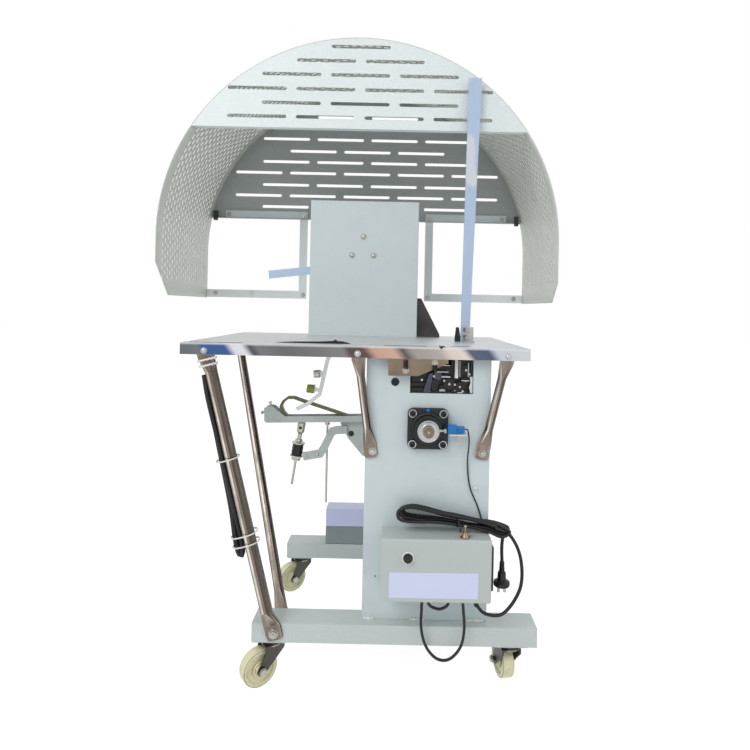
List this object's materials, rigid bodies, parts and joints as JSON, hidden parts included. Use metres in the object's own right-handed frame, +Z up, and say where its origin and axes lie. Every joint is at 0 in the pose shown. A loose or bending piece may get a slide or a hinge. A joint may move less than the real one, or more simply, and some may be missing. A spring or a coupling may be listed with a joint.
{
  "type": "carton strapping machine",
  "caption": "Floor-standing rope tying machine for cartons: a wheeled base, a drive cabinet, a steel table, a column and a large arched guard.",
  "frame": {"origin": "centre of the machine's box at floor level, cords left out", "axes": "+Z up, -Y towards the operator and the control box, +X to the operator's right"},
  "size_m": [1.024, 0.7, 1.485],
  "materials": {
    "hood_paint": "hammered light grey paint",
    "column_paint": "hammered grey paint",
    "cabinet_paint": "hammered grey paint",
    "stainless": "polished sheet",
    "bright_steel": "turned steel",
    "brown_steel": "brown-grey tube",
    "cast_green": "dark enamel",
    "brass": "turned brass",
    "film_blue": "bar under pale blue protective film",
    "dark_steel": "dark satin",
    "black_plastic": "satin",
    "black_rubber": "matt",
    "cream_nylon": "satin",
    "sensor_blue": "satin",
    "olive_paint": "matt",
    "lid_lavender": "satin"
  },
  "bodies": {
    "machine": {"hood_arch": "hood_paint", "hood_front_plate": "hood_paint", "hood_back_plate": "hood_paint", "column": "column_paint", "hood_frame_left": "column_paint", "hood_frame_right": "column_paint", "front_beam": "column_paint", "rear_beam": "column_paint", "rod_box": "column_paint", "lever_bracket": "column_paint", "tension_lever": "column_paint", "crank_arm": "column_paint", "cabinet_shell": "cabinet_paint", "cabinet_rear_wall": "cabinet_paint", "cabinet_left_wall": "cabinet_paint", "cabinet_right_wall": "cabinet_paint", "control_box": "cabinet_paint", "sensor_bracket": "cabinet_paint", "table_top": "stainless", "main_shaft": "bright_steel", "hook_lever": "bright_steel", "pull_rod": "bright_steel", "arm_bracket": "bright_steel", "film_guard_plate": "brown_steel", "strut_left_front": "brown_steel", "strut_left_rear": "brown_steel", "strut_front_inner": "brown_steel", "strut_front_outer": "brown_steel", "strut_rear_inner": "brown_steel", "strut_rear_outer": "brown_steel", "flange_bearing": "cast_green", "lid_screw": "brass", "side_arm": "film_blue", "arm_post": "film_blue", "column_gusset": "dark_steel", "spring_adjuster": "dark_steel", "mechanism_block": "black_plastic", "start_button": "black_plastic", "side_switch": "black_plastic", "trip_lever": "black_plastic", "spare_belt": "black_rubber", "mains_cord": "black_rubber", "mains_cord_hank": "black_rubber", "mains_cord_tail": "black_rubber", "mains_plug": "black_rubber", "motor_lead": "black_rubber", "short_lead": "black_rubber", "sensor_lead": "black_rubber", "proximity_sensor": "sensor_blue", "guide_strap": "olive_paint", "rod_box_lid": "lid_lavender"},
    "fork_front_left": {"caster_fork_front_left": "dark_steel"},
    "wheel_front_left": {"caster_wheel_front_left": "cream_nylon"},
    "fork_front_right": {"caster_fork_front_right": "dark_steel"},
    "wheel_front_right": {"caster_wheel_front_right": "cream_nylon"},
    "fork_rear_left": {"caster_fork_rear_left": "dark_steel"},
    "wheel_rear_left": {"caster_wheel_rear_left": "cream_nylon"},
    "fork_rear_right": {"caster_fork_rear_right": "dark_steel"},
    "wheel_rear_right": {"caster_wheel_rear_right": "cream_nylon"}
  },
  "joints": [
    {"name": "swivel_front_left", "type": "hinge", "parent": "machine", "child": "fork_front_left", "pos_m": [-0.15, -0.27, 0.088], "axis": [0, 0, 1], "continuous": true},
    {"name": "roll_front_left", "type": "hinge", "parent": "fork_front_left", "child": "wheel_front_left", "pos_m": [-0.17396, -0.28805, 0.038], "axis": [0.6018, -0.7986, 0], "continuous": true},
    {"name": "swivel_front_right", "type": "hinge", "parent": "machine", "child": "fork_front_right", "pos_m": [0.35735, -0.27, 0.088], "axis": [0, 0, 1], "continuous": true},
    {"name": "roll_front_right", "type": "hinge", "parent": "fork_front_right", "child": "wheel_front_right", "pos_m": [0.35214, -0.24046, 0.038], "axis": [-0.9848, -0.1736, 0], "continuous": true},
    {"name": "swivel_rear_left", "type": "hinge", "parent": "machine", "child": "fork_rear_left", "pos_m": [-0.152, 0.13, 0.088], "axis": [0, 0, 1], "continuous": true},
    {"name": "roll_rear_left", "type": "hinge", "parent": "fork_rear_left", "child": "wheel_rear_left", "pos_m": [-0.17657, 0.11279, 0.038], "axis": [0.5736, -0.8192, 0], "continuous": true},
    {"name": "swivel_rear_right", "type": "hinge", "parent": "machine", "child": "fork_rear_right", "pos_m": [0.31786, 0.13, 0.088], "axis": [0, 0, 1], "continuous": true},
    {"name": "roll_rear_right", "type": "hinge", "parent": "fork_rear_right", "child": "wheel_rear_right", "pos_m": [0.32307, 0.15954, 0.038], "axis": [-0.9848, 0.1736, 0], "continuous": true}
  ]
}
